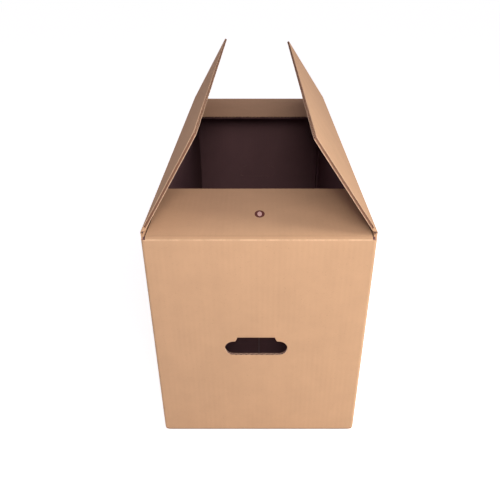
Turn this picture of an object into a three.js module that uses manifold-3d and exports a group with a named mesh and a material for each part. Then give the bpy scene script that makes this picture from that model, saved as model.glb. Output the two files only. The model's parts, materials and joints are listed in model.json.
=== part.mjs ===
// Large slotted carton of brown single-wall corrugated board, stood with its mouth up.
// Its two end flaps are folded in flat and its two side flaps are raised and lean inward.
// The flutes of the board run from the floor to the mouth and on into the flaps.
// Millimetres, +Z up. X runs across the end panels and Y along the side panels.
// The front end panel faces -Y. The origin lies on the floor under the middle of the carton.

import * as THREE from "three";
import { mergeVertices } from "three/addons/utils/BufferGeometryUtils.js";
import Module from "manifold-3d";

const wasm = await Module();
wasm.setup();

// Carton
const cartonWidth = 330; // outside, across an end panel
const cartonLength = 740; // outside, along a side panel
const cartonHeight = 393.5; // floor to the top of the folded-in end flaps

// Board
const board = 4.5; // thickness of the corrugated board
const foldInside = 0.5; // inner radius that a folded crease keeps
const layerGap = 0.3; // air between the two layers of flaps under the floor
const lidGap = 0.5; // air between the end flaps and the closed side flaps

// Fluted core, open at every cut edge
const liner = 0.5; // thickness of each facing sheet
const medium = 0.4; // thickness of the fluted sheet where it meets a facing
const flutePitch = 8.1; // crest to crest
const cellWideShare = 0.42; // half a cell's width on its wide side, as a share of the pitch
const cellNarrowShare = 0.06; // the same at the flute's crest
const creaseLand = 4; // flutes are crushed shut this far from a crease

// Flaps
const endFlapLength = 165; // reach of each end flap, from the outside of its panel
const meetingGap = 1.5; // gap between the two side flaps where they meet
const floorSeamGap = 0.3; // gap between the two outer floor flaps where they meet
const slotWidth = 7.5; // slot cut between neighbouring flaps
const endFlapSideGap = 2; // from an end flap's edge to the side panel beside it
const creaseGap = 0.4; // air between the mitred faces of a side flap's crease

// How far each side flap is raised from its closed, flat place
const leftFlapRaised = 59.8; // degrees
const rightFlapRaised = 55.9; // degrees

// Glued joint at the back right corner
const lapWidth = 35; // reach of the glue lap along the side panel
const lapThickness = 3; // the lap is pressed thin
const lapEndGap = 6; // from the lap's ends to the bends above and below
const lapChamfer = 9; // slope of the lap's ends
const seamGap = 1; // open seam beside the corner

// Hand holes, one in each end panel
const handHoleLength = 99;
const handHoleHeight = 28;
const handHoleCentreX = -4.5;
const handHoleCentreZ = 192.3;
const tabNeckTop = 60; // width of the tab at its crease
const tabNeckBase = 65.6; // width of the tab's neck where it meets the round-ended part
const tabNeckHeight = 5.5; // from the round-ended part up to the fold
const tabFold = 150; // degrees that the front tab is turned in and up
const tabNeckFolded = 3; // what the fold leaves of the neck
const knifeCut = 0.8; // width of the cut round the back tab, which is still in place

// Places that follow from the sizes above
const halfWidth = cartonWidth / 2;
const halfLength = cartonLength / 2;
const bendRadius = board + foldInside;
const slotSetback = board / 2 + slotWidth / 2;
const sideSpan = halfLength - slotSetback;
const endSpan = halfWidth - board - endFlapSideGap;
const endBottom = board + layerGap;
const ringLow = endBottom + bendRadius;
const ringHigh = cartonHeight - bendRadius;
const hingeHeight = cartonHeight + lidGap + board;
const hingeSetback = (creaseGap / 2) * Math.SQRT2;
const sideFlapLength = halfWidth - meetingGap / 2;
const overcut = 1; // how far a cutting solid runs past what it cuts

// Placing of a drawn outline: the outline's two directions and the direction it is extruded in
const xAxis = new THREE.Vector3(1, 0, 0);
const yAxis = new THREE.Vector3(0, 1, 0);
const zAxis = new THREE.Vector3(0, 0, 1);

// One outline, or several that don't touch
function extrude(shapes, depth) {
  return new THREE.ExtrudeGeometry(shapes, { depth, bevelEnabled: false, curveSegments: 8 });
}

// Outline drawn in Y and Z, extruded along X
function alongX(shape, from, to) {
  const geometry = extrude(shape, to - from);
  geometry.applyMatrix4(new THREE.Matrix4().makeBasis(yAxis, zAxis, xAxis));
  geometry.translate(from, 0, 0);
  return toSolid(geometry);
}

// Outline drawn in X and Z, extruded along Y
function alongY(shape, from, to) {
  const geometry = extrude(shape, to - from);
  geometry.applyMatrix4(new THREE.Matrix4().makeBasis(xAxis, zAxis, yAxis.clone().negate()));
  geometry.translate(0, to, 0);
  return toSolid(geometry);
}

// Outline drawn in X and Y, extruded along Z
function alongZ(shape, from, to) {
  const geometry = extrude(shape, to - from);
  geometry.translate(0, 0, from);
  return toSolid(geometry);
}

// Closed mesh to solid, for joining and cutting
function toSolid(geometry) {
  geometry.deleteAttribute("normal");
  geometry.deleteAttribute("uv");
  const merged = mergeVertices(geometry, 1e-4);
  return new wasm.Manifold(
    new wasm.Mesh({
      numProp: 3,
      vertProperties: Float32Array.from(merged.attributes.position.array),
      triVerts: Uint32Array.from(merged.index.array),
    }),
  );
}

function toGeometry(solid) {
  const mesh = solid.getMesh();
  const geometry = new THREE.BufferGeometry();
  geometry.setAttribute("position", new THREE.BufferAttribute(mesh.vertProperties, 3));
  geometry.setIndex(new THREE.BufferAttribute(mesh.triVerts, 1));
  geometry.computeVertexNormals();
  return geometry;
}

function rectangle(left, bottom, right, top) {
  const shape = new THREE.Shape();
  shape.moveTo(left, bottom);
  shape.lineTo(right, bottom);
  shape.lineTo(right, top);
  shape.lineTo(left, top);
  shape.closePath();
  return shape;
}

// Rectangle round the origin with rounded corners
function roundedRectangle(halfX, halfY, radius) {
  const shape = new THREE.Shape();
  shape.moveTo(-halfX + radius, -halfY);
  shape.lineTo(halfX - radius, -halfY);
  shape.absarc(halfX - radius, -halfY + radius, radius, -Math.PI / 2, 0);
  shape.lineTo(halfX, halfY - radius);
  shape.absarc(halfX - radius, halfY - radius, radius, 0, Math.PI / 2);
  shape.lineTo(-halfX + radius, halfY);
  shape.absarc(-halfX + radius, halfY - radius, radius, Math.PI / 2, Math.PI);
  shape.lineTo(-halfX, -halfY + radius);
  shape.absarc(-halfX + radius, -halfY + radius, radius, Math.PI, Math.PI * 1.5);
  return shape;
}

// Hollow between a flute and the facing sheet that it arches away from.
// It is widest at the far face and closes at the crest, next to the near face.
function cellOutline(centre, pitch, nearFace, farFace) {
  const inward = Math.sign(farFace - nearFace);
  const crest = nearFace + inward * (liner + medium);
  const foot = farFace - inward * liner;
  const shape = new THREE.Shape();
  shape.moveTo(centre - pitch * cellWideShare, foot);
  shape.lineTo(centre + pitch * cellWideShare, foot);
  shape.lineTo(centre + pitch * cellNarrowShare, crest);
  shape.lineTo(centre - pitch * cellNarrowShare, crest);
  shape.closePath();
  return shape;
}

// Cells across a board that reaches as far on both sides of zero, turned in and out by turns.
// The first and the last are cut open along the board's two sides.
function cellOutlines(halfSpan, innerFace, outerFace) {
  const pitches = Math.round((2 * halfSpan) / flutePitch);
  const pitch = (2 * halfSpan) / pitches;
  const outlines = [];
  for (let step = 0; step <= 2 * pitches; step += 1) {
    const centre = -halfSpan + (step * pitch) / 2;
    const opensOutward = step % 2 === 0;
    outlines.push(
      opensOutward
        ? cellOutline(centre, pitch, innerFace, outerFace)
        : cellOutline(centre, pitch, outerFace, innerFace),
    );
  }
  return outlines;
}

// Cells of an end panel whose flutes a hand hole cuts across
function handHoleCells(innerFace, outerFace) {
  const reach = (handHoleLength - flutePitch) / 2;
  return cellOutlines(endSpan, innerFace, outerFace).filter((outline) => {
    const middle = (outline.getPoints()[0].x + outline.getPoints()[1].x) / 2;
    return Math.abs(middle - handHoleCentreX) < reach;
  });
}

// The four panels between their upper and lower creases, folded at the rounded corners
function wallRing() {
  const outline = roundedRectangle(halfWidth, halfLength, bendRadius);
  outline.holes.push(roundedRectangle(halfWidth - board, halfLength - board, foldInside));
  return alongZ(outline, ringLow, ringHigh);
}

// Right side panel with its floor flap, which turns in under the carton to the middle.
// Its upper edge is mitred where the side flap folds over it.
function sidePanel() {
  const profile = new THREE.Shape();
  profile.moveTo(floorSeamGap / 2, 0);
  profile.lineTo(halfWidth - bendRadius, 0);
  profile.absarc(halfWidth - bendRadius, bendRadius, bendRadius, -Math.PI / 2, 0);
  profile.lineTo(halfWidth, hingeHeight - hingeSetback);
  profile.lineTo(halfWidth - board, hingeHeight - hingeSetback - board);
  profile.lineTo(halfWidth - board, bendRadius);
  profile.absarc(halfWidth - bendRadius, bendRadius, foldInside, 0, -Math.PI / 2, true);
  profile.lineTo(floorSeamGap / 2, board);
  profile.closePath();
  const grooves = cellOutlines(sideSpan, board, 0);
  const sideCuts = [grooves[0], grooves.at(-1)];
  return alongY(profile, -sideSpan, sideSpan).subtract(
    alongX(sideCuts, -overcut, halfWidth - bendRadius - creaseLand),
  );
}

// Front end panel with its floor flap and its top flap, both turned in level
function endPanel() {
  const outside = -halfLength;
  const flapEnd = outside + endFlapLength;
  const bend = outside + bendRadius;
  const profile = new THREE.Shape();
  profile.moveTo(flapEnd, endBottom + board);
  profile.lineTo(bend, endBottom + board);
  profile.absarc(bend, endBottom + bendRadius, foldInside, -Math.PI / 2, -Math.PI, true);
  profile.lineTo(outside + board, ringHigh);
  profile.absarc(bend, ringHigh, foldInside, Math.PI, Math.PI / 2, true);
  profile.lineTo(flapEnd, cartonHeight - board);
  profile.lineTo(flapEnd, cartonHeight);
  profile.lineTo(bend, cartonHeight);
  profile.absarc(bend, ringHigh, bendRadius, Math.PI / 2, Math.PI);
  profile.lineTo(outside, ringLow);
  profile.absarc(bend, ringLow, bendRadius, Math.PI, Math.PI * 1.5);
  profile.lineTo(flapEnd, endBottom);
  profile.closePath();
  const cells = cellOutlines(endSpan, cartonHeight - board, cartonHeight);
  return alongX(profile, -endSpan, endSpan).subtract(
    alongY(cells, bend + creaseLand, flapEnd + overcut),
  );
}

// Glue lap: the back end panel turns the corner and is glued inside the right side panel
function glueLap() {
  const root = halfLength - board;
  const edge = root - lapWidth;
  const low = ringLow + lapEndGap;
  const high = ringHigh - lapEndGap;
  const outline = new THREE.Shape();
  outline.moveTo(root + foldInside, low);
  outline.lineTo(root + foldInside, high);
  outline.lineTo(edge, high - lapChamfer);
  outline.lineTo(edge, low + lapChamfer);
  outline.closePath();
  return alongX(outline, halfWidth - board - lapThickness, halfWidth - board / 2);
}

// Open seam where the right side panel's cut edge stops short of the corner
function seam() {
  const outline = rectangle(halfWidth - board, sideSpan, halfWidth + overcut, sideSpan + seamGap);
  return alongZ(outline, ringLow - overcut, ringHigh + overcut);
}

// Outline of a hand hole, round-ended with a neck that rises to the tab's crease.
// Spread moves every side outward apart from the top.
function handHoleOutline(spread, top) {
  const radius = handHoleHeight / 2 + spread;
  const reach = handHoleLength / 2 - handHoleHeight / 2;
  const shoulder = handHoleCentreZ + radius;
  const neckTopHeight = handHoleCentreZ + handHoleHeight / 2 + tabNeckHeight;
  const shape = new THREE.Shape();
  shape.moveTo(handHoleCentreX - tabNeckBase / 2 - spread, shoulder);
  shape.lineTo(handHoleCentreX - reach, shoulder);
  shape.absarc(handHoleCentreX - reach, handHoleCentreZ, radius, Math.PI / 2, Math.PI * 1.5);
  shape.lineTo(handHoleCentreX + reach, handHoleCentreZ - radius);
  shape.absarc(handHoleCentreX + reach, handHoleCentreZ, radius, -Math.PI / 2, Math.PI / 2);
  shape.lineTo(handHoleCentreX + tabNeckBase / 2 + spread, shoulder);
  shape.lineTo(handHoleCentreX + tabNeckTop / 2 + spread, neckTopHeight);
  shape.lineTo(handHoleCentreX + tabNeckTop / 2 + spread, top);
  shape.lineTo(handHoleCentreX - tabNeckTop / 2 - spread, top);
  shape.lineTo(handHoleCentreX - tabNeckTop / 2 - spread, neckTopHeight);
  shape.closePath();
  return shape;
}

// The front tab is turned in and up, so its crease is a round hem a board's thickness deep
const hemHeight = handHoleCentreZ + handHoleHeight / 2 + tabNeckHeight + board;
const hemDepth = -halfLength + board;

// The hole, and the flutes that it leaves open from its lower edge down to the floor crease
function frontHandHole() {
  const hole = alongY(handHoleOutline(0, hemHeight), -halfLength - overcut, hemDepth + overcut);
  const cells = handHoleCells(hemDepth, -halfLength);
  return hole.add(alongZ(cells, ringLow + creaseLand, handHoleCentreZ));
}

function frontHem() {
  const turned = THREE.MathUtils.degToRad(180 + tabFold);
  const outline = new THREE.Shape();
  outline.moveTo(hemDepth, hemHeight + foldInside);
  outline.lineTo(-halfLength, hemHeight + foldInside);
  outline.lineTo(-halfLength, hemHeight);
  outline.absarc(hemDepth, hemHeight, board, Math.PI, turned);
  outline.lineTo(hemDepth, hemHeight);
  outline.closePath();
  return alongX(outline, handHoleCentreX - tabNeckTop / 2, handHoleCentreX + tabNeckTop / 2);
}

// The tab is drawn lying flat, with its crease at zero, and turned up about the hem's centre
function frontTab() {
  const radius = handHoleHeight / 2 - knifeCut / 2;
  const reach = handHoleLength / 2 - handHoleHeight / 2;
  const middle = tabNeckFolded + handHoleHeight / 2;
  const neck = tabNeckTop / 2;
  const shape = new THREE.Shape();
  shape.moveTo(-neck, -foldInside / 2);
  shape.lineTo(neck, -foldInside / 2);
  shape.lineTo(neck, 0);
  shape.lineTo(tabNeckBase / 2, middle - radius);
  shape.lineTo(reach, middle - radius);
  shape.absarc(reach, middle, radius, -Math.PI / 2, Math.PI / 2);
  shape.lineTo(-reach, middle + radius);
  shape.absarc(-reach, middle, radius, Math.PI / 2, Math.PI * 1.5);
  shape.lineTo(-tabNeckBase / 2, middle - radius);
  shape.lineTo(-neck, 0);
  shape.closePath();
  const flatTab = alongZ(shape, -board, 0).translate([handHoleCentreX, 0, 0]);
  const cells = handHoleCells(0, -board);
  return flatTab
    .subtract(alongY(cells, tabNeckFolded + creaseLand, middle + radius + overcut))
    .rotate([tabFold - 90, 0, 0])
    .translate([0, hemDepth, hemHeight]);
}

// The back tab is cut round but still in place, held by its crease
function backKnifeCut() {
  const crease = handHoleCentreZ + handHoleHeight / 2 + tabNeckHeight;
  const from = halfLength - board - overcut;
  const to = halfLength + overcut;
  const outer = alongY(handHoleOutline(knifeCut / 2, crease), from, to);
  const inner = alongY(handHoleOutline(-knifeCut / 2, crease + overcut), from - overcut, to + overcut);
  return outer.subtract(inner);
}

// Carton body: everything that the blank folds into, apart from the two raised side flaps
function cartonBody() {
  const side = sidePanel();
  const end = endPanel();
  return wallRing()
    .add(side)
    .add(side.mirror([1, 0, 0]))
    .add(end)
    .add(end.mirror([0, 1, 0]))
    .subtract(seam())
    .add(glueLap())
    .subtract(frontHandHole())
    .add(frontHem())
    .add(frontTab())
    .subtract(backKnifeCut());
}

// Side flap lying closed, with its crease at the origin and its free edge toward +X
function sideFlap() {
  const profile = new THREE.Shape();
  profile.moveTo(hingeSetback, 0);
  profile.lineTo(hingeSetback + board, -board);
  profile.lineTo(sideFlapLength, -board);
  profile.lineTo(sideFlapLength, 0);
  profile.closePath();
  const cells = cellOutlines(sideSpan, -board, 0);
  return alongY(profile, -sideSpan, sideSpan).subtract(
    alongX(cells, board + creaseLand, sideFlapLength + overcut),
  );
}

const kraft = { roughness: 0.9, metalness: 0 };

const cartonMesh = new THREE.Mesh(
  toGeometry(cartonBody()),
  new THREE.MeshStandardMaterial({ ...kraft, color: 0xcda27c }),
);
cartonMesh.name = "carton_body";

const leftFlapMesh = new THREE.Mesh(
  toGeometry(sideFlap()),
  new THREE.MeshStandardMaterial({ ...kraft, color: 0xb88d70 }),
);
leftFlapMesh.name = "left_top_flap";
leftFlapMesh.position.set(-halfWidth, 0, hingeHeight);
leftFlapMesh.rotation.y = -THREE.MathUtils.degToRad(leftFlapRaised);

const rightFlapMesh = new THREE.Mesh(
  toGeometry(sideFlap().mirror([1, 0, 0])),
  new THREE.MeshStandardMaterial({ ...kraft, color: 0xcfa57f }),
);
rightFlapMesh.name = "right_top_flap";
rightFlapMesh.position.set(halfWidth, 0, hingeHeight);
rightFlapMesh.rotation.y = THREE.MathUtils.degToRad(rightFlapRaised);

const carton = new THREE.Group();
carton.add(cartonMesh, leftFlapMesh, rightFlapMesh);

export default carton;
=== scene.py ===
# %% [markdown]
# A large corrugated carton, seen end-on from above, as a studio picture.
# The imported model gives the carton's real shape: one folded sheet and two flaps that swing.
# This script gives it the look of brown kraft board, adds the soft creases that carry the
# flaps, prints the small ring on the front flap, and sets the light and the camera.

# %% Load the carton
import json
import math

import bpy
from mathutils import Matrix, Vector


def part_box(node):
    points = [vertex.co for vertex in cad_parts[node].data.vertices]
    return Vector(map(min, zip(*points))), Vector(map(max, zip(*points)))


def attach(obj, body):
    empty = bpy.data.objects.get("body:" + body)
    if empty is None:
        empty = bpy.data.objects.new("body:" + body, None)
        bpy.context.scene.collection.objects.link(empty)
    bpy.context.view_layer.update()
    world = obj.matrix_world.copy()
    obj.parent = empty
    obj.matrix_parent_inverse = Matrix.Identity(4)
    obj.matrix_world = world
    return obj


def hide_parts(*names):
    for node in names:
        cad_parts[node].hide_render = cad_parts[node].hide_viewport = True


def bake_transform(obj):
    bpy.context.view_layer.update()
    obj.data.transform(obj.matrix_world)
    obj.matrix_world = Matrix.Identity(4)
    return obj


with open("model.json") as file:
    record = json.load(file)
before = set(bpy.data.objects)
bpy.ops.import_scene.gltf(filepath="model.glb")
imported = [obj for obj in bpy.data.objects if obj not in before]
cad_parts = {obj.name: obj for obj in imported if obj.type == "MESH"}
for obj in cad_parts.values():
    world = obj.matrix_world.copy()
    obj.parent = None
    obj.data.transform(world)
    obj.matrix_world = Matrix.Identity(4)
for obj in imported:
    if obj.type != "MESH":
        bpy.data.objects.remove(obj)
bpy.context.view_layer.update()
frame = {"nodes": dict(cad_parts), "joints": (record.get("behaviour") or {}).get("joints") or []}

body_low, body_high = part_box("carton_body")
print("carton body", body_low, body_high)

# %% [markdown]
# Everything is measured from a few real sizes of the carton, in metres. The outside sizes
# are read from the model, so they can't drift from it. A flap's own sizes are measured from
# its crease: the mitre that leaves it room to swing, then a strip where the flutes are crushed,
# then the open flutes up to the free edge.

# %% Sizes of the carton
half_width = body_high.x
half_length = body_high.y
board = 0.0045
facing = 0.0005
fluted_sheet = 0.00032
flute_count = 90
lid_gap = 0.0005
meeting_gap = 0.0015
fold_radius = 0.005
crease_height = frame["joints"][0]["pos_m"][2]
lid_height = crease_height - board - lid_gap
flap_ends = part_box("left_top_flap")[1].y
flute_pitch = 2 * flap_ends / flute_count
crease_play = 0.000283
crease_land = 0.004
crushed_land = board + crease_land
flap_reach = half_width - meeting_gap / 2
open_length = flap_reach - crushed_land
open_middle = (crushed_land + flap_reach) / 2
left_raised = math.radians(59.8)
right_raised = math.radians(55.9)
print("crease at", round(crease_height, 4), "flaps end at", round(flap_ends, 4))

# %% [markdown]
# The camera stands in front of the carton and looks down at it. Its place was worked out
# from the corners of the carton in the photograph, and the small sideways shift puts the
# carton a little right of the middle of the picture, as there.

# %% Camera
camera_distance = 0.632
camera_above_rim = 0.355
camera_pitch = math.radians(30.7)
camera_shift = -0.018
focal_pixels = 523
picture_pixels = 500
sensor_width = 36
nearest_seen = 0.01

bpy.ops.object.camera_add(
    location=(0, -half_length - camera_distance, lid_height + camera_above_rim),
    rotation=(math.pi / 2 - camera_pitch, 0, 0),
)
camera = bpy.context.object
camera.name = "studio_camera"
camera.data.sensor_width = sensor_width
camera.data.lens = focal_pixels / picture_pixels * sensor_width
camera.data.shift_x = camera_shift
camera.data.clip_start = nearest_seen
bpy.context.scene.camera = camera
print("lens", round(camera.data.lens, 2), "mm")

# %% [markdown]
# The world, the floor and the paper are all made of shader nodes. The first helper turns a
# colour into the values that a node takes. The others add nodes, link what they are given,
# and hand back the output. Maths takes a plain number or a link for each of its inputs.


# %% Small helpers for node trees
def srgb(red, green, blue):
    channels = []
    for value in (red, green, blue):
        share = value / 255
        channels.append(share / 12.92 if share <= 0.04045 else ((share + 0.055) / 1.055) ** 2.4)
    return (*channels, 1)


def add_math(tree, operation, first, second=None, third=None):
    node = tree.nodes.new("ShaderNodeMath")
    node.operation = operation
    for socket, value in zip(node.inputs, (first, second, third)):
        if value is None:
            continue
        if isinstance(value, (int, float)):
            socket.default_value = value
        else:
            tree.links.new(value, socket)
    return node.outputs[0]


def add_product(tree, first, *others):
    product = first
    for factor in others:
        product = add_math(tree, "MULTIPLY", product, factor)
    return product


def add_range(tree, value, from_low, from_high, to_low, to_high):
    node = tree.nodes.new("ShaderNodeMapRange")
    node.interpolation_type = "SMOOTHSTEP"
    tree.links.new(value, node.inputs["Value"])
    node.inputs["From Min"].default_value = from_low
    node.inputs["From Max"].default_value = from_high
    node.inputs["To Min"].default_value = to_low
    node.inputs["To Max"].default_value = to_high
    return node.outputs["Result"]


def add_noise(tree, vector, scale, detail, roughness=0.5):
    node = tree.nodes.new("ShaderNodeTexNoise")
    tree.links.new(vector, node.inputs["Vector"])
    node.inputs["Scale"].default_value = scale
    node.inputs["Detail"].default_value = detail
    node.inputs["Roughness"].default_value = roughness
    return node.outputs["Fac"]


def add_mix(tree, share, first, second):
    node = tree.nodes.new("ShaderNodeMix")
    node.data_type = "RGBA"
    node.clamp_factor = True
    tree.links.new(share, node.inputs["Factor"])
    for socket, value in ((node.inputs["A"], first), (node.inputs["B"], second)):
        if isinstance(value, tuple):
            socket.default_value = value
        else:
            tree.links.new(value, socket)
    return node.outputs["Result"]


def add_split(tree, vector):
    node = tree.nodes.new("ShaderNodeSeparateXYZ")
    tree.links.new(vector, node.inputs[0])
    return node.outputs["X"], node.outputs["Y"], node.outputs["Z"]


# %% [markdown]
# The background is plain white. The camera sees a white world, while the carton is lit by a
# much weaker one, a little lighter from the right and the front, so that its inside stays
# dark.

# %% World
sky_level = 0.4
sky_tint = (1, 0.91, 1.02, 1)
lighter_right = 0.35
lighter_front = 0.1
white = (1, 1, 1, 1)

scene = bpy.context.scene
scene.view_settings.view_transform = "Standard"
world = bpy.data.worlds.new("white_studio")
scene.world = world
world.use_nodes = True
world_tree = world.node_tree
world_tree.nodes.clear()
sky_direction = world_tree.nodes.new("ShaderNodeTexCoord")
sky_x, sky_y = add_split(world_tree, sky_direction.outputs["Generated"])[:2]
from_right = add_math(world_tree, "MULTIPLY_ADD", sky_x, sky_level * lighter_right, sky_level)
sky_strength = add_math(
    world_tree, "MULTIPLY_ADD", sky_y, -sky_level * lighter_front, from_right
)
lighting = world_tree.nodes.new("ShaderNodeBackground")
lighting.inputs["Color"].default_value = sky_tint
world_tree.links.new(sky_strength, lighting.inputs["Strength"])
seen = world_tree.nodes.new("ShaderNodeBackground")
seen.inputs["Color"].default_value = white
seen.inputs["Strength"].default_value = 1
rays = world_tree.nodes.new("ShaderNodeLightPath").outputs
any_seen = add_math(world_tree, "MAXIMUM", rays["Is Camera Ray"], rays["Is Glossy Ray"])
any_seen = add_math(world_tree, "MAXIMUM", any_seen, rays["Is Transmission Ray"])
choose = world_tree.nodes.new("ShaderNodeMixShader")
world_tree.links.new(any_seen, choose.inputs[0])
world_tree.links.new(lighting.outputs[0], choose.inputs[1])
world_tree.links.new(seen.outputs[0], choose.inputs[2])
world_out = world_tree.nodes.new("ShaderNodeOutputWorld")
world_tree.links.new(choose.outputs[0], world_out.inputs["Surface"])
print("world", world.name, "with", len(world_tree.nodes), "nodes")

# %% [markdown]
# The key lamp stands just above the camera: the bright patch that it throws through the
# mouth on the back wall, and that patch's edges, show where it stood in the photograph. A
# small lamp near the front rim makes the front flap fade towards the back, and softboxes from
# the right and low in front even out the rest.


# %% Lamps
def add_softbox(name, place, target, size, watts, colour):
    bpy.ops.object.light_add(type="AREA", location=place)
    lamp = bpy.context.object
    lamp.name = name
    lamp.data.shape = "SQUARE"
    lamp.data.size = size
    lamp.data.energy = watts
    lamp.data.color = colour
    lamp.visible_camera = False
    aim = Vector(target) - Vector(place)
    lamp.rotation_euler = aim.to_track_quat("-Z", "Y").to_euler()
    print(name, watts, "W")


add_softbox(
    "front_softbox",
    place=(0.01, -1.3, 1.0),
    target=(0, -0.2, 0.3),
    size=0.2,
    watts=4.2,
    colour=(1, 0.97, 0.92),
)
add_softbox(
    "near_softbox",
    place=(0.1, -0.76, 0.85),
    target=(0, -0.33, 0.38),
    size=0.3,
    watts=1.45,
    colour=(1, 0.96, 0.92),
)
add_softbox(
    "right_softbox",
    place=(1.5, -0.7, 1.4),
    target=(0, 0, 0.35),
    size=0.7,
    watts=14.0,
    colour=(1, 0.97, 0.86),
)
add_softbox(
    "low_softbox",
    place=(0.56, -0.76, 0.02),
    target=(0.1, -0.37, 0),
    size=0.3,
    watts=1.6,
    colour=(1, 0.98, 0.88),
)

# %% [markdown]
# The carton stands on a white floor. The floor glows a little for the camera, so that it is as
# white as the background and still shows the carton's soft shadow. Under the carton it
# doesn't glow, or the glow would show through the seam between the floor flaps.

# %% Floor
floor_size = 12
floor_drop = 0.0006
floor_white = (0.8, 0.8, 0.8, 1)
glow_strength = 0.7
glow_margin = 0.006

bpy.ops.object.select_all(action="DESELECT")
bpy.ops.mesh.primitive_plane_add(size=floor_size, location=(0, 0, -floor_drop))
floor = bpy.context.object
floor.name = "studio_floor"
floor_paint = bpy.data.materials.new("white_floor")
floor_paint.use_nodes = True
floor_tree = floor_paint.node_tree
floor_tree.nodes.clear()
floor_coordinates = floor_tree.nodes.new("ShaderNodeTexCoord")
floor_x, floor_y = add_split(floor_tree, floor_coordinates.outputs["Object"])[:2]
beyond = []
for distance, reach in ((floor_x, half_width), (floor_y, half_length)):
    away = add_math(floor_tree, "ABSOLUTE", distance)
    beyond.append(add_math(floor_tree, "GREATER_THAN", away, reach - glow_margin))
clear_of_carton = add_math(floor_tree, "MAXIMUM", *beyond)
floor_rays = floor_tree.nodes.new("ShaderNodeLightPath")
glow_level = add_product(
    floor_tree, floor_rays.outputs["Is Camera Ray"], clear_of_carton, glow_strength
)
glow = floor_tree.nodes.new("ShaderNodeEmission")
floor_tree.links.new(glow_level, glow.inputs["Strength"])
matte = floor_tree.nodes.new("ShaderNodeBsdfDiffuse")
matte.inputs["Color"].default_value = floor_white
both = floor_tree.nodes.new("ShaderNodeAddShader")
floor_tree.links.new(matte.outputs[0], both.inputs[0])
floor_tree.links.new(glow.outputs[0], both.inputs[1])
floor_out = floor_tree.nodes.new("ShaderNodeOutputMaterial")
floor_tree.links.new(both.outputs[0], floor_out.inputs["Surface"])
floor.data.materials.append(floor_paint)
print(floor.name, "is", floor_size, "m wide")

# %% [markdown]
# Every surface here is paper, so the paper itself is one shader node group. Real kraft board
# has a fine grain, short dark fibres, cloudy patches, faint streaks along the flutes, and a
# soft washboard where the flutes press through the facing. The washboard is a bump, and in the
# colour it is also painted shade: light and dark bands across the flutes. The group only puts
# out a colour and a height, and each material feeds them to its own shader. A scale is how
# often a pattern repeats in a metre, roughly.

# %% The kraft paper group
grain_scale = 1500
fibre_scale = 420
fibre_starts = 0.62
fibre_full = 0.72
cloud_scale = 26
streaks_across = 45
streaks_along = 2.5
patch_scale = 14
patch_contrast = (0.35, 0.65, 0.2, 1)
grain_relief = 0.25
flute_relief = 0.35

kraft_group = bpy.data.node_groups.new("kraft_paper", "ShaderNodeTree")
for label, kind, value in (
    ("Paper", "NodeSocketColor", srgb(205, 166, 132)),
    ("Across", "NodeSocketFloat", 0.0),
    ("Along", "NodeSocketFloat", 0.0),
    ("Grain", "NodeSocketFloat", 0.05),
    ("Fibres", "NodeSocketFloat", 0.15),
    ("Clouds", "NodeSocketFloat", 0.16),
    ("Streaks", "NodeSocketFloat", 0.06),
    ("Flute Shade", "NodeSocketFloat", 0.007),
):
    socket = kraft_group.interface.new_socket(label, in_out="INPUT", socket_type=kind)
    socket.default_value = value
for label, kind in (("Colour", "NodeSocketColor"), ("Height", "NodeSocketFloat")):
    kraft_group.interface.new_socket(label, in_out="OUTPUT", socket_type=kind)
paper_in = kraft_group.nodes.new("NodeGroupInput").outputs
paper_out = kraft_group.nodes.new("NodeGroupOutput").inputs


def add_tone(noise, label):
    shade = add_math(kraft_group, "SUBTRACT", noise, 0.5)
    return add_math(kraft_group, "MULTIPLY", shade, paper_in[label])


place = kraft_group.nodes.new("ShaderNodeTexCoord").outputs["Object"]
grain = add_noise(kraft_group, place, grain_scale, detail=2)
grain_tone = add_tone(grain, "Grain")
fibre_noise = add_noise(kraft_group, place, fibre_scale, detail=3, roughness=0.7)
fibre_mask = add_range(kraft_group, fibre_noise, fibre_starts, fibre_full, 0, -1)
fibre_tone = add_math(kraft_group, "MULTIPLY", fibre_mask, paper_in["Fibres"])
cloud_noise = add_noise(kraft_group, place, cloud_scale, detail=4, roughness=0.6)
cloud_tone = add_tone(cloud_noise, "Clouds")
streak_place = kraft_group.nodes.new("ShaderNodeCombineXYZ")
for axis, label, scale in (("X", "Across", streaks_across), ("Y", "Along", streaks_along)):
    stretched = add_math(kraft_group, "MULTIPLY", paper_in[label], scale)
    kraft_group.links.new(stretched, streak_place.inputs[axis])
streak_noise = add_noise(kraft_group, streak_place.outputs[0], scale=1, detail=3)
streak_tone = add_tone(streak_noise, "Streaks")
# The flute wave also shades the colour: a painted shade of the washboard, light and dark bands
# across the flutes.
flute_turn = add_math(kraft_group, "MULTIPLY", paper_in["Across"], 2 * math.pi / flute_pitch)
flute_wave = add_math(kraft_group, "COSINE", flute_turn)
patch_noise = add_noise(kraft_group, place, patch_scale, detail=2)
flute_patch = add_range(kraft_group, patch_noise, *patch_contrast)
flute_press = add_math(kraft_group, "MULTIPLY", flute_wave, flute_patch)
flute_painted_shade = add_math(kraft_group, "MULTIPLY", flute_press, paper_in["Flute Shade"])
tone = add_math(kraft_group, "ADD", 1.0, grain_tone)
for part_tone in (fibre_tone, cloud_tone, streak_tone, flute_painted_shade):
    tone = add_math(kraft_group, "ADD", tone, part_tone)
tinted = kraft_group.nodes.new("ShaderNodeVectorMath")
tinted.operation = "SCALE"
kraft_group.links.new(paper_in["Paper"], tinted.inputs[0])
kraft_group.links.new(tone, tinted.inputs["Scale"])
kraft_group.links.new(tinted.outputs[0], paper_out["Colour"])
grain_height = add_math(kraft_group, "MULTIPLY", grain, grain_relief)
flute_height = add_math(kraft_group, "MULTIPLY", flute_press, flute_relief)
relief = add_math(kraft_group, "ADD", grain_height, flute_height)
kraft_group.links.new(relief, paper_out["Height"])
print("group", kraft_group.name, "with", len(kraft_group.nodes), "nodes")

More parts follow.
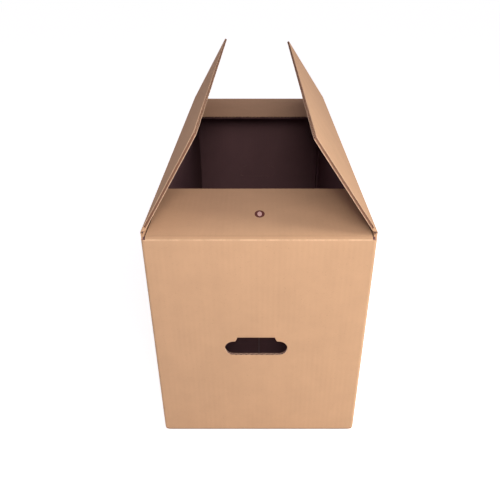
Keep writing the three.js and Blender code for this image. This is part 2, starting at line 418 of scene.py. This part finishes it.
# %% [markdown]
# A material on the paper group reads where a point lies on the carton, hands the paper
# group the distance across the flutes and along them, and adds a shallow bump. What differs
# from board to board is the colour of the paper and how strongly each effect shows.

# %% Build a paper material
paper_roughness = 0.86
paper_gloss = 0.25
bump_strength = 0.6
bump_depth = 0.00012


def new_material(name):
    material = bpy.data.materials.new(name)
    material.use_nodes = True
    tree = material.node_tree
    shader = tree.nodes["Principled BSDF"]
    shader.inputs["Roughness"].default_value = paper_roughness
    shader.inputs["Specular IOR Level"].default_value = paper_gloss
    coordinates = tree.nodes.new("ShaderNodeTexCoord")
    return material, tree, shader, coordinates.outputs


def add_paper(tree, shader, paper, across, along, effects):
    group = tree.nodes.new("ShaderNodeGroup")
    group.node_tree = kraft_group
    if isinstance(paper, tuple):
        group.inputs["Paper"].default_value = paper
    else:
        tree.links.new(paper, group.inputs["Paper"])
    tree.links.new(across, group.inputs["Across"])
    tree.links.new(along, group.inputs["Along"])
    for label, value in effects.items():
        group.inputs[label].default_value = value
    bump = tree.nodes.new("ShaderNodeBump")
    bump.inputs["Strength"].default_value = bump_strength
    bump.inputs["Distance"].default_value = bump_depth
    tree.links.new(group.outputs["Height"], bump.inputs["Height"])
    tree.links.new(group.outputs["Colour"], shader.inputs["Base Color"])
    tree.links.new(bump.outputs["Normal"], shader.inputs["Normal"])


# %% Colours of the paper
outer_paper = srgb(205, 165, 130)
# The inner facing is darker and more purple than kraft: painted shade for the inside of the
# carton.
inner_paper_painted_shade = srgb(130, 96, 99)
cut_paper = srgb(226, 190, 158)
core_paper = srgb(150, 112, 92)
# Paler paper for the painted highlight line where the rim's fold meets the end faces, and for
# the corners, where it is partly wear and partly painted highlight.
highlight_and_wear_paper = srgb(224, 186, 150)
# Darker paper for painted shade on the rim's fold, which tones down the light on the bend.
painted_fold_shade_paper = srgb(188, 150, 117)
rubbed_paper = srgb(211, 171, 136)
ring_ink = srgb(104, 56, 50)
ring_centre = srgb(222, 180, 172)
print("outer facing", [round(channel, 3) for channel in outer_paper])

# %% [markdown]
# The carton body is one solid, so its material finds the parts of the sheet by their place.
# Points inside the shell are inner facing, painted darker and purplish as painted shade for
# the inside of the carton. The upper part of the rim's fold is painted a shade darker, a painted
# shade that tones down the light on the bend, with a painted highlight line below it, and the
# corners get a paler noisy band that is partly wear and partly painted highlight. The
# edge of the hand hole has the pale fuzz of cut paper, where the open flutes show as dark gaps.
# Each pair below is where an effect starts and where it ends, in metres from its edge.

# %% Body material
near_end_face = (0.0004, 0.0011)
below_rim = (0.0028, 0.0036)
above_panel = (0.005, 0.0062)
painted_fold_shade_band = (0.0046, 0.0054)
corner_highlight_and_wear_band = (fold_radius * 0.6, fold_radius * 0.95)
highlight_and_wear_scale = 60
highlight_and_wear_contrast = (0.3, 0.7, 0.35, 1)
corner_highlight_and_wear_share = 0.45
hole_middle_x = -0.0045
hole_middle_z = 0.1923
hole_half_length = 0.0515
hole_half_height = 0.0175
board_slack = 0.0001
cut_across_limit = 0.5
sideways_limit = 0.7

body_material, tree, shader, coordinates = new_material("carton_board")
x, y, z = add_split(tree, coordinates["Object"])
far_x = add_math(tree, "ABSOLUTE", x)
far_y = add_math(tree, "ABSOLUTE", y)
inside = add_product(
    tree,
    add_math(tree, "LESS_THAN", far_x, half_width - board / 2),
    add_math(tree, "LESS_THAN", far_y, half_length - board / 2),
    add_math(tree, "LESS_THAN", z, lid_height - board / 2),
    add_math(tree, "GREATER_THAN", z, board / 2),
)
from_side = add_math(tree, "SUBTRACT", half_width, far_x)
from_end = add_math(tree, "SUBTRACT", half_length, far_y)
from_top = add_math(tree, "SUBTRACT", lid_height, z)
highlight_and_wear_pattern = add_noise(tree, coordinates["Object"], highlight_and_wear_scale, detail=4, roughness=0.7)
highlight_and_wear_noise = add_range(tree, highlight_and_wear_pattern, *highlight_and_wear_contrast)
# Painted highlight: a paler, noisy line on the end faces where the rim's fold meets them.
rim_painted_highlight = add_product(
    tree,
    add_range(tree, from_end, *near_end_face, 1, 0),
    add_range(tree, from_top, *below_rim, 0, 1),
    add_range(tree, from_top, *above_panel, 1, 0),
    highlight_and_wear_noise,
)
# At the vertical corners the paler, noisy band is partly wear and partly painted highlight.
from_corner = add_math(tree, "ADD", from_end, from_side)
corner_fold = add_range(tree, from_corner, *corner_highlight_and_wear_band, 1, 0)
corner_highlight_and_wear = add_product(tree, corner_fold, highlight_and_wear_noise, corner_highlight_and_wear_share)
highlight_and_wear = add_math(tree, "MAXIMUM", rim_painted_highlight, corner_highlight_and_wear)
# Painted shade: the rim's fold is darkened to tone down the light on the bend.
from_rim = add_math(tree, "ADD", from_end, from_top)
rim_painted_shade = add_range(tree, from_rim, *painted_fold_shade_band, 1, 0)
fold_shaded = add_mix(tree, rim_painted_shade, outer_paper, painted_fold_shade_paper)
highlighted_and_worn = add_mix(tree, highlight_and_wear, fold_shaded, highlight_and_wear_paper)
# Inside the shell the darker, purplish inner facing is painted shade for the inside of the
# carton.
facings = add_mix(tree, inside, highlighted_and_worn, inner_paper_painted_shade)
normal_x, normal_y = add_split(tree, coordinates["Normal"])[:2]
hole_x = add_math(tree, "ABSOLUTE", add_math(tree, "SUBTRACT", x, hole_middle_x))
hole_z = add_math(tree, "ABSOLUTE", add_math(tree, "SUBTRACT", z, hole_middle_z))
hole_edge = add_product(
    tree,
    add_math(tree, "LESS_THAN", hole_x, hole_half_length),
    add_math(tree, "LESS_THAN", hole_z, hole_half_height),
    add_math(tree, "LESS_THAN", from_end, board + board_slack),
    add_math(tree, "LESS_THAN", add_math(tree, "ABSOLUTE", normal_y), cut_across_limit),
)
paper = add_mix(tree, hole_edge, facings, cut_paper)
sideways = add_math(
    tree, "GREATER_THAN", add_math(tree, "ABSOLUTE", normal_x), sideways_limit
)
endways = add_math(tree, "SUBTRACT", 1, sideways)
across = add_math(
    tree, "ADD", add_math(tree, "MULTIPLY", y, sideways), add_math(tree, "MULTIPLY", x, endways)
)
add_paper(tree, shader, paper, across, z, {})
carton_body = frame["nodes"]["carton_body"]
carton_body.data.materials.clear()
carton_body.data.materials.append(body_material)
print(body_material.name, "with", len(tree.nodes), "nodes")


# %% Materials of the loose boards
def paper_material(name, paper, effects):
    material, tree, shader, coordinates = new_material(name)
    x, y = add_split(tree, coordinates["Object"])[:2]
    add_paper(tree, shader, paper, y, x, effects)
    return material


outer_facing = paper_material("outer_facing", outer_paper, {})
# The inner facing's darker, purplish colour is partly painted shade for the inside of the
# carton.
inner_facing_painted_shade = paper_material("inner_facing_painted_shade", inner_paper_painted_shade, {"Fibres": 0.08})
cut_edge = paper_material("cut_edge", cut_paper, {"Grain": 0.25, "Fibres": 0.3, "Flute Shade": 0.0})
fluted_core = paper_material("fluted_core", core_paper, {"Grain": 0.12, "Flute Shade": 0.0})
crease_facing = paper_material("crease_facing", rubbed_paper, {"Grain": 0.12, "Flute Shade": 0.03})
print(len(bpy.data.materials), "materials")

# %% [markdown]
# Each side flap is made as the board is made: an outer and an inner facing, and between
# them a sheet pressed into flutes. All of it is laid out flat first, with the
# crease at the origin and the free edge toward +X, then swung up into place.
# The facings are grids given thickness, and their free edges are roughened a little.


# %% Helpers for modelling
turned_enough = 0.5


def deselect_everything():
    if bpy.context.object and bpy.context.object.mode != "OBJECT":
        bpy.ops.object.mode_set(mode="OBJECT")
    bpy.ops.object.select_all(action="DESELECT")


def make_active(piece):
    deselect_everything()
    piece.select_set(True)
    bpy.context.view_layer.objects.active = piece


def apply_place(piece):
    make_active(piece)
    bpy.ops.object.transform_apply(location=True, rotation=True, scale=True)


def place_new(name, scale):
    """Names the piece just added, stretches it and applies its place."""
    piece = bpy.context.object
    piece.name = name
    piece.scale = scale
    apply_place(piece)
    return piece


def thicken(piece, thickness, offset=0, rim_material=0):
    """Gives a sheet its thickness and applies all its modifiers in their order."""
    thick = piece.modifiers.new("thickness", "SOLIDIFY")
    thick.thickness = thickness
    thick.offset = offset
    thick.material_offset_rim = rim_material
    make_active(piece)
    for modifier in list(piece.modifiers):
        bpy.ops.object.modifier_apply(modifier=modifier.name)


def edit_all(piece):
    """Opens edit mode with everything selected."""
    make_active(piece)
    bpy.ops.object.mode_set(mode="EDIT")
    bpy.ops.mesh.select_all(action="SELECT")


def select_points(piece, wanted):
    """Selects the vertices whose place passes the test, and leaves edit mode on."""
    make_active(piece)
    bpy.ops.object.mode_set(mode="EDIT")
    bpy.ops.mesh.select_mode(type="VERT")
    bpy.ops.mesh.select_all(action="DESELECT")
    bpy.ops.object.mode_set(mode="OBJECT")
    for vertex in piece.data.vertices:
        vertex.select = wanted(vertex.co)
    bpy.ops.object.mode_set(mode="EDIT")


def end_editing():
    bpy.ops.object.mode_set(mode="OBJECT")


def add_materials(piece, first, second, takes_second=None):
    """Gives a piece two materials, the second on the faces whose normal passes the test."""
    piece.data.materials.append(first)
    piece.data.materials.append(second)
    if takes_second:
        for face in piece.data.polygons:
            if takes_second(face.normal):
                face.material_index = 1


def join_pieces(pieces, name):
    deselect_everything()
    for piece in pieces:
        piece.select_set(True)
    bpy.context.view_layer.objects.active = pieces[0]
    bpy.ops.object.join()
    joined = bpy.context.object
    joined.name = name
    joined.data.name = name
    return joined


# %% One facing sheet
def lay_facing(name, middle_height, paper, seed):
    edge_margin = 0.0001
    roughened = 0.00016
    deselect_everything()
    bpy.ops.mesh.primitive_grid_add(
        x_subdivisions=6,
        y_subdivisions=2 * flute_count,
        size=1,
        location=(open_middle, 0, middle_height),
    )
    sheet = place_new(name, (open_length, 2 * flap_ends, 1))
    select_points(sheet, lambda co: co.x > flap_reach - edge_margin)
    bpy.ops.transform.vertex_random(offset=roughened, uniform=1, seed=seed)
    end_editing()
    add_materials(sheet, paper, cut_edge)
    thicken(sheet, facing, rim_material=1)
    return sheet


# %% [markdown]
# The fluted sheet: one flute is a narrow grid whose rows are lifted one after another along
# a cosine, and an array repeats it along the flap. At both ends of the flap the knife has cut
# through a flute where it lies against the inner facing.


# %% The fluted sheet
def lay_flutes(name):
    steps = 10
    row_pitch = flute_pitch / steps
    swing = (board - 2 * facing - fluted_sheet) / 2
    deselect_everything()
    bpy.ops.mesh.primitive_grid_add(
        x_subdivisions=1,
        y_subdivisions=steps,
        size=1,
        location=(open_middle, -flap_ends + flute_pitch / 2, -board / 2),
    )
    flute = place_new(name, (open_length, flute_pitch, 1))
    for row in range(steps + 1):
        row_place = -flap_ends + row * row_pitch
        lift = -swing * math.cos(2 * math.pi * row / steps)
        select_points(flute, lambda co: abs(co.y - row_place) < row_pitch / 4)
        bpy.ops.transform.translate(value=(0, 0, lift))
        end_editing()
    repeat = flute.modifiers.new("flutes", "ARRAY")
    repeat.count = flute_count
    repeat.use_relative_offset = False
    repeat.use_constant_offset = True
    repeat.constant_offset_displace = (0, flute_pitch, 0)
    repeat.use_merge_vertices = True
    repeat.merge_threshold = 0.00005
    add_materials(flute, fluted_core, cut_edge)
    thicken(flute, fluted_sheet, rim_material=1)
    return flute


# %% The crushed strip beside the crease
def lay_crushed_strip(name):
    deselect_everything()
    middle = (crease_play + crushed_land) / 2
    bpy.ops.mesh.primitive_cube_add(size=1, location=(middle, 0, -board / 2))
    strip = place_new(name, (crushed_land - crease_play, 2 * flap_ends, board))
    select_points(strip, lambda co: co.x < crushed_land / 2 and co.z < -board / 2)
    bpy.ops.transform.translate(value=(board, 0, 0))
    end_editing()
    add_materials(strip, outer_facing, inner_facing_painted_shade, lambda normal: normal.z < -turned_enough)
    return strip


# %% Both side flaps
def build_side_flap(side, side_name, raised, seed):
    inner_seed = seed + 7
    pieces = [
        lay_crushed_strip(side_name + "_flap_crushed_strip"),
        lay_facing(side_name + "_outer_facing", -facing / 2, outer_facing, seed),
        lay_facing(side_name + "_inner_facing_painted_shade", -board + facing / 2, inner_facing_painted_shade, inner_seed),
        lay_flutes(side_name + "_flutes"),
    ]
    flap = join_pieces(pieces, side_name + "_flap_board")
    flap.location = (side * half_width, 0, crease_height)
    flap.rotation_euler = (0, -raised, 0 if side < 0 else math.pi)
    apply_place(flap)
    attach(flap, side_name + "_flap")
    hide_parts(side_name + "_top_flap")
    print(flap.name, len(flap.data.polygons), "faces")


build_side_flap(-1, "left", left_raised, seed=3)
build_side_flap(1, "right", right_raised, seed=21)

# %% [markdown]
# The creases: on the real carton the outer facing runs on unbroken from the side panel into
# the flap, and the inner facing is bent round inside the score. A strip could be drawn point by
# point, but spin turns an edge about the crease line itself, so both skins keep their distance
# from it while the flap swings. In a script, a positive spin turns left-handed about its axis.


# %% Helpers for the skins of a crease
def lay_strip(name, length, turned, place):
    deselect_everything()
    bpy.ops.mesh.primitive_plane_add(size=1, location=place, rotation=(0, turned, 0))
    return place_new(name, (length, 2 * flap_ends, 1))


def finish_strip(strip, thickness, paper):
    edit_all(strip)
    bpy.ops.mesh.remove_doubles(threshold=0.000001)
    bpy.ops.mesh.normals_make_consistent(inside=False)
    end_editing()
    strip.data.materials.append(paper)
    thicken(strip, thickness)


def hang_on_crease(skin, side):
    skin.location = (side * half_width, 0, crease_height)
    skin.rotation_euler = (0, 0, 0 if side < 0 else math.pi)
    apply_place(skin)
    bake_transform(skin)


# %% The outer skin of a crease
def build_outer_skin(side, side_name, raised):
    radius = 0.00012
    tail = 0.003
    thickness = 0.00018
    skin = lay_strip(side_name + "_crease_outside", tail, math.pi / 2, (-radius, 0, -tail / 2))
    select_points(skin, lambda co: co.z > -tail / 2)
    bend = math.pi / 2 - raised
    bpy.ops.mesh.spin(steps=6, angle=-bend, center=(0, 0, 0), axis=(0, 1, 0))
    along_flap = (tail * math.cos(raised), 0, tail * math.sin(raised))
    bpy.ops.mesh.extrude_region_move(TRANSFORM_OT_translate={"value": along_flap})
    end_editing()
    finish_strip(skin, thickness, crease_facing)
    hang_on_crease(skin, side)
    return skin


# %% The inner skin of a crease
def build_inner_skin(side, side_name, raised):
    radius = 0.0032
    tail = 0.0006
    sunk = math.radians(5)
    first = -math.pi / 4 - sunk
    last = -math.pi / 4 + raised + sunk
    reach = radius + tail / 2
    place = (reach * math.cos(first), 0, reach * math.sin(first))
    skin = lay_strip(side_name + "_crease_inside", tail, -first, place)
    select_points(skin, lambda co: math.hypot(co.x, co.z) < reach)
    bpy.ops.mesh.spin(steps=12, angle=last - first, center=(0, 0, 0), axis=(0, 1, 0))
    end_editing()
    finish_strip(skin, facing, inner_facing_painted_shade)
    hang_on_crease(skin, side)
    return skin


for side, side_name, raised in ((-1, "left", left_raised), (1, "right", right_raised)):
    for build_skin in (build_outer_skin, build_inner_skin):
        skin = build_skin(side, side_name, raised)
        widest = max(abs(vertex.co.x) for vertex in skin.data.vertices)
        print(skin.name, len(skin.data.polygons), "faces, out to", round(widest * 1000, 2), "mm")

# %% [markdown]
# The back hand hole is only cut with a knife along its outline, and its tab is still in place.
# In the model the cut is an open slit that light would shine through. A plug of
# board, a little larger than the tab and sunk a hair under both faces, closes it, so that the
# cut shows as the fine line that it is.

# %% Tab of the back hand hole
tab_margin = 0.003
tab_sunk = 0.00025
tab_length = 2 * (hole_half_length + tab_margin)
tab_height = 2 * (hole_half_height + tab_margin)
tab_rounding = tab_height * 0.4
tab_thickness = board - 2 * tab_sunk

deselect_everything()
bpy.ops.mesh.primitive_plane_add(
    size=1,
    location=(hole_middle_x, half_length - board + tab_sunk, hole_middle_z),
    rotation=(math.pi / 2, 0, 0),
)
tab = place_new("back_hand_hole_tab", (tab_length, tab_height, 1))
edit_all(tab)
bpy.ops.mesh.bevel(offset=tab_rounding, segments=6, affect="VERTICES")
bpy.ops.mesh.select_all(action="SELECT")
bpy.ops.mesh.extrude_region_move(TRANSFORM_OT_translate={"value": (0, tab_thickness, 0)})
bpy.ops.mesh.select_all(action="SELECT")
bpy.ops.mesh.normals_make_consistent(inside=False)
end_editing()
add_materials(tab, inner_facing_painted_shade, outer_facing, lambda normal: normal.y > turned_enough)
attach(tab, "carton")
print(tab.name, [round(length, 4) for length in tab.dimensions])

# %% [markdown]
# A small oval ring is printed on the front end flap. Ink could be painted in the board's
# material, but a film of its own, as thin as ink can be, keeps a sharp outline from near by: a
# flat disc is inset to the width of the line, its middle gets a paler paper, and the whole is
# given a hair's thickness.

# %% Printed ring
ring_middle = (0.001, -0.2977, lid_height)
ring_width = 0.0153
ring_length = 0.024
ring_line = 0.0042
ring_corners = 48
ink_depth = 0.00006

ink_material, tree, shader, coordinates = new_material("ring_ink")
x, y = add_split(tree, coordinates["Object"])[:2]
add_paper(tree, shader, ring_ink, x, y, {"Fibres": -0.5, "Clouds": 0.3, "Grain": 0.3})
centre_material = paper_material("ring_middle", ring_centre, {"Fibres": 0.05})
deselect_everything()
bpy.ops.mesh.primitive_circle_add(
    vertices=ring_corners, radius=0.5, fill_type="NGON", location=(0, 0, 0)
)
ring = place_new("printed_ring", (ring_width, ring_length, 1))
edit_all(ring)
add_materials(ring, ink_material, centre_material)
bpy.ops.mesh.inset(thickness=ring_line)
ring.active_material_index = 1
bpy.ops.object.material_slot_assign()
end_editing()
thicken(ring, ink_depth, offset=1)
ring.location = ring_middle
apply_place(ring)
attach(ring, "carton")
print(ring.name, len(ring.data.polygons), "faces")
